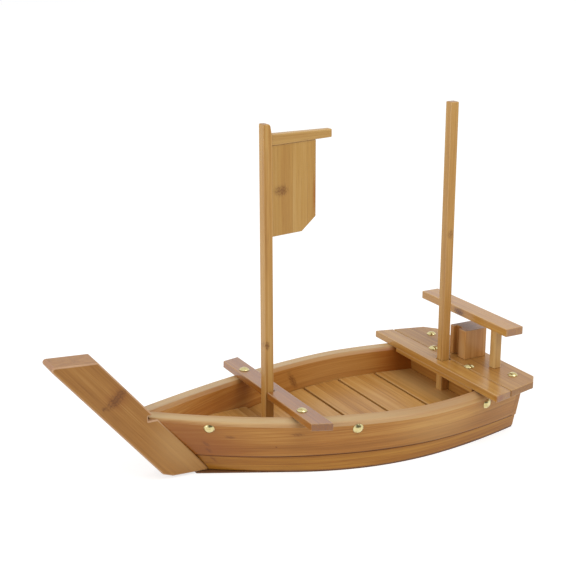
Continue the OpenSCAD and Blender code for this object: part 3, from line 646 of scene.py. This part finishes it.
def lower_plank(side):
    """A lower plank: from the bottom board up to the seam, its outer face a step further in."""
    ribs = rib(np.linspace(0, 1, rib_count), plank_ahead)
    low = np.full(rib_count, bottom_thickness + glue)
    return bent_plank(side, ribs, low, seam_height(ribs[0]), lower_radii, shrink=strake_step, fill=fill_out)


def upper_plank(side):
    """An upper plank: from the seam up to the gunwale, crowned to port and bevelled to starboard."""
    ribs = rib(np.linspace(0, 1, rib_count), plank_ahead, upper_short)
    top, radii = ("crowned", crowned_radii) if side < 0 else ("bevelled", bevelled_radii)
    return bent_plank(side, ribs, seam_height(ribs[0]) + glue, sheer(ribs[1]), radii, top)


# Marks lie in grain coordinates, which start at -0.7 m on the port side and at 0.7 m on the other.
knots = [((-0.6698, 0.0345, 0), (0.003, 0.0045, 0.003), 0.5),
         ((-0.6735, 0.026, 0), (0.0032, 0.0042, 0.003), 0.5),
         ((-0.6407, 0.0425, 0), (0.0065, 0.0018, 0.003), 0.55),
         ((-0.5778, 0.0432, 0), (0.008, 0.0022, 0.003), 0.5),
         ((-0.6056, 0.0302, 0), (0.0009, 0.0009, 0.003), 1.0),
         ((0.8886, 0.0376, 0.0138), (0.005, 0.01, 0.003), 0.7)]
# painted shade on the port outer face towards the stem, on every inner face, and most under the deck and at
# the bow on the starboard inner face; painted light on the port outer face aft and midway along the starboard
# inner face; the port gunwale top aft is made darker and more orange
painted_shade_and_light = [((-0.68, 0.035, 0), (0.085, 0.06, 0.004), 0.8),
           ((-0.56, 0.035, 0), (0.12, 0.06, 0.004), 0.25),
           ((0, 0.035, 0.0138), (9, 0.3, 0.006), 0.3),
           ((1.02, 0.035, 0.0138), (0.045, 0.05, 0.005), 0.95),
           ((0.79, 0.035, 0.0145), (0.08, 0.05, 0.005), 0.4),
           ((-0.42, 0.054, 0.006), (0.13, 0.012, 0.014), 0.42),
           ((-0.44, 0.034, 0), (0.07, 0.03, 0.004), -0.3),
           ((0.9355, 0.032, 0.0135), (0.07, 0.04, 0.004), -0.2)]
# the worked gunwale tops go paler as wear and as a painted highlight from above
hull_bamboo = bamboo("side_bamboo", (158, 105, 42), (182, 124, 54), (202, 150, 76), strip=0.0165, wear_and_highlight=1.0,
                     worn_and_highlight_tone=(200, 169, 122), contrast=1.6, knuckles=knots, shades=painted_shade_and_light)
lower_bamboo = bamboo("lower_side_bamboo", (146, 90, 24), (166, 108, 33), (186, 131, 49), strip=0.0165,
                      contrast=1.6, knuckles=[((-0.6771, 0.3246, 0.0012), (0.0032, 0.006, 0.003), 0.5)])
for side, word in ((-1, "port"), (1, "starboard")):
    for level, plank, material, other_strips in (("lower", lower_plank, lower_bamboo, 0.31),
                                                 ("upper", upper_plank, hull_bamboo, 0)):
        rings, grain, edge = plank(side)
        if side < 0:
            # a mirrored section runs round the other way, and turned back its faces point outwards
            rings, grain, edge = rings[:, ::-1], grain[:, ::-1], edge[:, ::-1]
        grain = grain + np.array([side * 0.7, other_strips, 0])
        make_piece(f"{word}_{level}_plank", [(rings, grain, edge, lengthwise)], material, "hull_bamboo",
                   f"{word}_{level}_strake")

# Transom and bulkhead: two cross walls of glued strips. The transom closes the stern under the
# deck; the bulkhead stands ahead of it, and the deck is nailed down into it.
wall_bamboo = bamboo("wall_bamboo", (154, 99, 38), (176, 120, 52), (194, 143, 72), turned=quarter_turn)
for node_name in ("transom", "bulkhead"):
    finish_solid(node_name, wall_bamboo)

# Floor: four slats across the boat with dark open seams, and a raised board in the bow that
# slopes up to the stem. They rest loose on the battens and bearers.
floor_height, slat_thickness, wall_gap = 27, 6, 0.4
slat_width, slat_gap, slat_trim = 42.2, 2.2, 0.3
front_mast_at, rear_mast_at, bulkhead_at = 62.3, 268.174, 277.974
mast_width, mast_fit = 9.2, 0.6
mast_hole = mast_width / 2 + mast_fit
bow_rise, bow_slope, bow_length, blunt_point = 3, np.radians(10), 80, 1.0
athwart = (0, 1, 0)
slat_bamboo = bamboo("floor_bamboo", (163, 110, 47), (190, 137, 66), (207, 161, 95), strip=0.021,
                     shades=[((1.1279, 0.2035, 0.027), (0.09, 0.022, 0.01), -0.5)])


def inner_half(x, z):
    """Half breadth between the side planks at stations x and heights z.

    The rib there is found from where the first and the last rib stand at that height.
    """
    bow_end, stern_end = [rib_point(*rib(u), z)[0] for u in (0.0, 1.0)]
    return rib_point(*rib((x - bow_end) / (stern_end - bow_end)), z)[2]


def both_sides(near, radii):
    """Outline with rounded corners: its near side's points, and the same mirrored on the far side."""
    near, radii = np.array(near, float), np.array(radii, float)
    return round_corners(np.concatenate([near, near[::-1] * (1, -1)]), np.concatenate([radii, radii[::-1]]))


def slat(front, after, count=12):
    """Rings and edge of a floor board between two stations, its ends following the hull's sides."""
    x = np.linspace(front + slat_trim, after - slat_trim, count)
    half = inner_half(x, floor_height) - wall_gap
    outline = both_sides(np.stack([x, -half], 1), [1.0] + [0] * (count - 2) + [1.0])
    rings, edge = eased_board(outline, floor_height - slat_thickness, floor_height, ease=0.7)
    return metres(rings), edge


def cane(shape, order, shift):
    """Grain coordinates: a shape's axes with the grain's first, on a fresh stretch of cane."""
    return shape[..., order] + shift


def laid_sloping(board, station, height, slope):
    """Rings of a board drawn level about its own origin, turned down aft by the slope and set in place."""
    x, y, z = np.moveaxis(board, -1, 0)
    return metres(np.stack([station + x * np.cos(slope) + z * np.sin(slope), y,
                            height - x * np.sin(slope) + z * np.cos(slope)], -1))


last_slat_aft = bulkhead_at - glue
pitch = slat_width + slat_gap
spans = [(front_mast_at + mast_width / 2 + glue, last_slat_aft - 3 * pitch)]
spans += [(last_slat_aft - i * pitch - slat_width, last_slat_aft - i * pitch) for i in (2, 1, 0)]
next_cane = np.array([0.37, 0.011, 0])
parts = []
for number, span in enumerate(spans):
    rings, edge = slat(*span)
    parts.append((rings, cane(rings, [1, 0, 2], number * next_cane), edge, athwart))
make_piece("floor_boards", parts, slat_bamboo, "floor_bamboo", "floor_slats")

bow_aft, bow_height = front_mast_at + mast_width / 2 - glue, floor_height + bow_rise
bow_steps = 24
along = np.linspace(-bow_length, 0, bow_steps)
half = inner_half(bow_aft + along * np.cos(bow_slope), bow_height - along * np.sin(bow_slope)) - wall_gap
half = np.maximum(half, blunt_point)
notch = [(0, -mast_hole), (glue - mast_hole, -mast_hole)]
near = np.concatenate([np.stack([along, -half], 1), notch])
outline = both_sides(near, [0] * (bow_steps - 1) + [1.0, 1.0, 0])
board, edge = eased_board(outline, -slat_thickness, 0, ease=0.6)
make_piece("bow_floor_board", [(laid_sloping(board, bow_aft, bow_height, bow_slope),
                                cane(board / 1000, [1, 0, 2], 2.3), edge, athwart)],
           slat_bamboo, "floor_bamboo", "bow_floor")

# Deck: a narrow front plank with a notch for the rear mast, a cleat behind its front edge, and a
# wide board aft with cut corners. Both boards are varnished and nailed down.
deck_front, deck_aft, deck_under, deck_top = 258.774, 324.074, 53.1, 60.3
front_plank_width, board_gap, deck_overhang = 20.3, 0.7, 23.2
corner_length, corner_breadth = 10.4, 12.4
plank_after = deck_front + front_plank_width
rear_front = plank_after + board_gap
corner_at = deck_aft - corner_length
# the dark oval at the front plank's near end is painted shade on its end
deck_bamboo = bamboo("deck_bamboo", (160, 107, 43), (184, 132, 59), (204, 159, 86), strip=0.02, coat=0.65,
                     shades=[((0.4208, 0.7065, 0.5864), (0.005, 0.009, 0.006), 1.0)])
rear_deck_bamboo = bamboo("rear_deck_bamboo", (155, 104, 45), (178, 128, 62), (198, 154, 88), strip=0.02,
                          coat=0.35, end_tone=(136, 92, 52))


def deck_half(x):
    """Half breadth of the deck: a straight taper from its front edge to its cut corners."""
    share = (x - deck_front) / (corner_at - deck_front)
    return blend(gunwale_half(deck_front), gunwale_half(corner_at), share) + deck_overhang


def in_stations(box):
    """Corners of a box in stations, breadths and heights, in millimetres."""
    return [np.array(corner) * 1000 + (origin_station, 0, 0) for corner in box]


def bar(low, high, ease):
    """Rings and edge of a square bar between two corners, its outline level."""
    outline = round_corners([(low[0], low[1]), (high[0], low[1]), (high[0], high[1]), (low[0], high[1])],
                            ease + 0.3)
    rings, edge = eased_board(outline, low[2], high[2], ease)
    return metres(rings), edge


def deck_board(name, outline, shift, material, node_name):
    """A board of the deck, with its grain across the boat."""
    rings, edge = eased_board(outline, deck_under, deck_top, ease=0.8)
    rings = metres(rings)
    make_piece(name, [(rings, cane(rings, [1, 0, 2], shift), edge, athwart)], material, "board_bamboo",
               node_name)


notch_front = rear_mast_at - mast_fit
front_outline = both_sides(
    [(deck_front, -deck_half(deck_front)), (plank_after, -deck_half(plank_after)),
     (plank_after, -mast_hole), (notch_front, -mast_hole)], [1.1, 1.1, 1.1, 0.4])
deck_board("front_deck_board", front_outline, 0.53, deck_bamboo, "front_deck_plank")
corner_half = deck_half(corner_at)
rear_outline = both_sides(
    [(rear_front, -deck_half(rear_front)), (corner_at, -corner_half),
     (deck_aft, corner_breadth - corner_half)], [1.1, 1.1, 1.1])
deck_board("rear_deck_board", rear_outline, 0.91, rear_deck_bamboo, "rear_deck")
rings, edge = bar(*in_stations(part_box("deck_beam")), ease=0.6)
make_piece("deck_cleat", [(rings, cane(rings, [1, 0, 2], 1.7), edge, athwart)], deck_bamboo, "hull_bamboo",
           "deck_beam")

# Thwart: a narrow board across both gunwales, nailed down at each side, with a notch in its front
# edge for the front mast. It follows the sheer, so it leans a little towards the stern.
thwart_at, thwart_width, thwart_thickness, thwart_overhang = 63.5, 19.7, 7.2, 25.3
thwart_bamboo = bamboo("thwart_bamboo", (137, 79, 20), (158, 98, 28), (174, 116, 42), strip=0.0125,
                       coat=0.95, end_tone=(132, 92, 64),
                       knuckles=[((1.2274, 1.2395, 1.2372), (0.004, 0.002, 0.003), 0.8)])
lean = np.arctan((sheer(thwart_at) - sheer(thwart_at + thwart_width)) / thwart_width)
front_half, after_half = [gunwale_half(x) + thwart_overhang for x in (thwart_at, thwart_at + thwart_width)]
notch_depth = front_mast_at + mast_width + mast_fit - thwart_at
thwart_outline = both_sides(
    [(notch_depth, -mast_hole), (0, -mast_hole), (0, -front_half), (thwart_width, -after_half)],
    [0.4, 1.1, 1.1, 1.1])
board, edge = eased_board(thwart_outline, 0, thwart_thickness, ease=0.8)
make_piece("thwart_board", [(laid_sloping(board, thwart_at, sheer(thwart_at) + glue, lean),
                             cane(board / 1000, [1, 0, 2], 1.23), edge, athwart)],
           thwart_bamboo, "board_bamboo", "thwart")

# Masts: two square bars glued from thin strips, standing loose in their notches. The edges are just
# broken with sandpaper, and the tops are sawn square. The front one is planed off aft at its top.
planed_length, planed_depth = 11, 2
upright = (0, 0, 1)
mast_bamboo = bamboo("mast_bamboo", (166, 115, 53), (193, 145, 76), (210, 172, 106), strip=0.0042,
                     knuckles=[((0.1115, -0.0226, -0.004), (0.005, 0.0035, 0.03), 0.8),
                               ((0.595, 0.5855, 0.3954), (0.006, 0.004, 0.03), 0.5)])
for node_name, planed, top_round, shift in (("front_mast", planed_depth, 3, 0), ("rear_mast", 0, 1, 0.4)):
    (x0, y0, z0), (x1, y1, z1) = in_stations(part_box(node_name))
    mast_outline = round_corners([(x0, z0), (x1, z0), (x1, z1 - planed_length), (x1 - planed, z1), (x0, z1)],
                                 [1, 1, 0, top_round, 1])
    board, edge = eased_board(mast_outline, y0, y1, ease=0.7)
    rings = facing_port(board)
    make_piece(f"{node_name}_bar", [(rings, cane(rings, [2, 0, 1], shift), edge, upright)], mast_bamboo,
               "mast_bamboo", node_name)

# Yard and sail: a tapered bar and a thin board with one cut corner, both glued to the after face
# of the front mast. The bar's grain runs along it, the sail's runs up and down.
yard_top, yard_root, yard_tip, yard_length = 313.4, 10.6, 7.8, 63
sail_width, foot_rise, cut_length, cut_height = 46.7, 1.8, 14.8, 15.0
yard_bamboo = bamboo("yard_bamboo", (172, 124, 64), (196, 154, 87), (211, 176, 115), strip=0.006)
sail_bamboo = bamboo("sail_bamboo", (168, 117, 54), (190, 145, 75), (205, 166, 102), strip=0.0155,
                     contrast=0.75,
                     knuckles=[((0.4601, 0.2818, 0.2), (0.006, 0.009, 0.03), 0.7)],
                     shades=[((0.4517, 0.317, 0.2), (0.026, 0.003, 0.03), 0.7)])
(x0, y0, z0), (x1, y1, z1) = in_stations(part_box("yard"))
yard_outline = round_corners([(x0, z0), (x1, z1 - yard_tip), (x1, z1), (x0, z1)], 1.0)
board, edge = eased_board(yard_outline, y0, y1, ease=0.7)
make_piece("yard_bar", [(facing_port(board), cane(board / 1000, [0, 1, 2], 0.66), edge, lengthwise)],
           yard_bamboo, "mast_bamboo", "yard")
(x0, y0, z0), (x1, y1, z1) = in_stations(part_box("sail"))
head_at_mast = yard_top - yard_root - glue
head_at_leech = blend(yard_top - yard_root, yard_top - yard_tip, sail_width / yard_length) - glue
sail_outline = round_corners([(x0, z0), (x1 - cut_length, z0 + foot_rise), (x1, z0 + cut_height),
                              (x1, head_at_leech), (x0, head_at_mast)], 1.0)
board, edge = eased_board(sail_outline, y0, y1, ease=0.7)
make_piece("sail_board", [(facing_port(board), cane(board / 1000, [1, 0, 2], 0.2), edge, upright)],
           sail_bamboo, "mast_bamboo", "sail")

# Rail: a flat board on two short square posts, glued up on the deck's after half. The board is
# varnished and shows a joint of the cane at its middle. The posts are painted paler than the yard's
# cane: painted light that offsets the rail's shadow on them.
post_width = 8.4
rail_bamboo = bamboo("rail_bamboo", (164, 107, 40), (187, 133, 54), (205, 158, 79), strip=0.01, coat=0.8,
                     knuckles=[((0.1762, 0.3773, 0.2769), (0.011, 0.004, 0.0045), 0.95)])
lit_post_bamboo = bamboo("lit_post_bamboo", (184, 136, 76), (208, 168, 104), (222, 190, 134), strip=0.006)
rings, edge = bar(*in_stations(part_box("rail")), ease=0.8)
make_piece("rail_board", [(rings, cane(rings, [1, 0, 2], 0.17), edge, athwart)], rail_bamboo, "board_bamboo",
           "rail")
(x0, y0, z0), (x1, y1, z1) = in_stations(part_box("rail_posts"))
parts = []
for number, (near, far) in enumerate(((y0, y0 + post_width), (y1 - post_width, y1))):
    rings, edge = bar((x0, near, z0), (x1, far, z1), ease=0.6)
    parts.append((rings, cane(rings, [2, 0, 1], 0.9 + number), edge, upright))
make_piece("rail_post_bars", parts, lit_post_bamboo, "mast_bamboo", "rail_posts")

# Grooved block: an upright block glued on the deck behind the rear mast, its grain upright and a
# wide groove cut down its front face, a little to starboard.
groove_near, groove_far, groove_depth = -1.5, 7.5, 5
block_cane, block_front = 3.1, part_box("grooved_block")[0][0]
# painted light: the strip of the front face between the groove and the near side is painted paler
block_bamboo = bamboo("block_bamboo", (159, 104, 47), (184, 128, 64), (202, 153, 88), strip=0.0105, coat=0.4,
                      end_tone=(118, 84, 70),
                      shades=[((3.17, 3.0925, block_cane + block_front), (0.03, 0.0085, 0.003), -0.6)])
(x0, y0, z0), (x1, y1, z1) = in_stations(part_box("grooved_block"))
block_outline = round_corners(
    [(x0, y0), (x1, y0), (x1, y1), (x0, y1), (x0, groove_far), (x0 + groove_depth, groove_far),
     (x0 + groove_depth, groove_near), (x0, groove_near)], [0.9, 0.9, 0.9, 0.9, 0.9, 0.3, 0.3, 0.9])
rings, edge = eased_board(block_outline, z0, z1, ease=0.6)
rings = metres(rings)
make_piece("grooved_post_block", [(rings, cane(rings, [2, 1, 0], block_cane), edge, upright)], block_bamboo,
           "board_bamboo", "grooved_block")

# Nails: twelve domed brass nails, three through each upper plank, two through the thwart and four
# through the deck. They are polished, with a light uneven tarnish.
crown_radius, crown_angle, rim_radius, shank_radius = 6.48, 49.8, 5.1, 1
side_shank, board_shank = 10.5, 17
share_and_drop = ((0.097, 10.5), (0.449, 10.2), (0.852, 12))
thwart_nail_back, thwart_nail_in = 8, 10
front_nail_back, front_nail_out = 4.8, 32
rear_nail_ahead, rear_nail_in = 16.6, 3.6
brass, tree = bare_material("nail_brass")
where = wire(tree, "ShaderNodeTexCoord").outputs["Object"]
tarnish = wire(tree, "ShaderNodeTexNoise", {"Vector": where, "Scale": 260.0, "Detail": 2.0}).outputs[0]
colour = mixed(tree, fade(tree, tarnish, 0.4, 0.7), srgb(218, 205, 152), srgb(196, 181, 124))
rough = calc(tree, "MULTIPLY_ADD", tarnish, 0.06, 0.17)
shader = wire(tree, "ShaderNodeBsdfPrincipled", {"Base Color": colour, "Roughness": rough, "Metallic": 1.0})
wire(tree, "ShaderNodeOutputMaterial", {"Surface": shader.outputs[0]})


def domed_nail(place, direction, shank):
    """Rings of a nail turned about its axis, from the shank's tip to the crown.

    The crown is a cap of a sphere above a thin flat rim: its radius falls as the sine of the angle
    from the axis and its height grows as the cosine, from the crown's angle to the pole. The rim's
    underside is a glue line above the wood.
    """
    angle = np.radians(np.linspace(crown_angle, 0.5, 14))
    cap = crown_radius * (np.cos(angle) - np.cos(angle[0]))
    radius = np.concatenate([[shank_radius - 0.2, shank_radius, shank_radius, rim_radius - 0.3, rim_radius,
                              rim_radius], crown_radius * np.sin(angle)])
    height = np.concatenate([[-shank, 0.2 - shank, glue, glue, 0.2, 0.3], 0.4 + cap])
    axis = unit(np.array(direction, float))
    first = unit(np.cross(axis, (1, 0, 0)))
    turn = np.linspace(0, 2 * np.pi, 48, endpoint=False)[:, None]
    circle = np.cos(turn) * first + np.sin(turn) * np.cross(axis, first)
    return metres(place + radius[:, None, None] * circle + height[:, None, None] * axis)


def side_nail(share, drop, side):
    """Place and outward direction of a nail through an upper plank, at a share of the hull's length.

    The plank's slope along the boat is taken between the ribs a hundredth before and after, and
    its flare is the rest of the breadth that the rib gains, over its height.
    """
    low_x, high_x = rib(share)
    z = sheer(high_x) - drop
    x, outer, _ = rib_point(low_x, high_x, z)
    before, after = rib_point(*rib(share - 0.01), z), rib_point(*rib(share + 0.01), z)
    slope = (after[1] - before[1]) / (after[0] - before[0])
    flare = (gunwale_half(high_x) - bottom_half(low_x) - slope * (high_x - low_x)) / sheer(high_x)
    return (x, side * outer, z), (-slope, side, -flare)


def thwart_nail(side):
    """Place and direction of a nail square to the leaning thwart, over the side plank."""
    x = thwart_at + thwart_nail_back * np.cos(lean)
    place = (x + thwart_thickness * np.sin(lean), side * (gunwale_half(x) - thwart_nail_in),
             sheer(x) + thwart_thickness / np.cos(lean) + 2 * glue)
    return place, (np.sin(lean), 0, np.cos(lean))


rear_nail_at = deck_aft - rear_nail_ahead
nails = {"hull_nails": [], "thwart_nails": [], "deck_nails": []}
for side in (-1, 1):
    nails["hull_nails"] += [side_nail(share, drop, side) for share, drop in share_and_drop]
    nails["thwart_nails"].append(thwart_nail(side))
    nails["deck_nails"] += [
        ((bulkhead_at + front_nail_back, side * front_nail_out, deck_top), upright),
        ((rear_nail_at, side * (gunwale_half(rear_nail_at) - rear_nail_in), deck_top), upright)]
for node_name, places in nails.items():
    shank = side_shank if node_name == "hull_nails" else board_shank
    turned = [domed_nail(np.array(place, float), direction, shank) for place, direction in places]
    parts = [(rings, rings, np.zeros(rings.shape[:2]), upright) for rings in turned]
    make_piece(node_name.replace("nails", "brass_nails"), parts, brass, "brass", node_name)
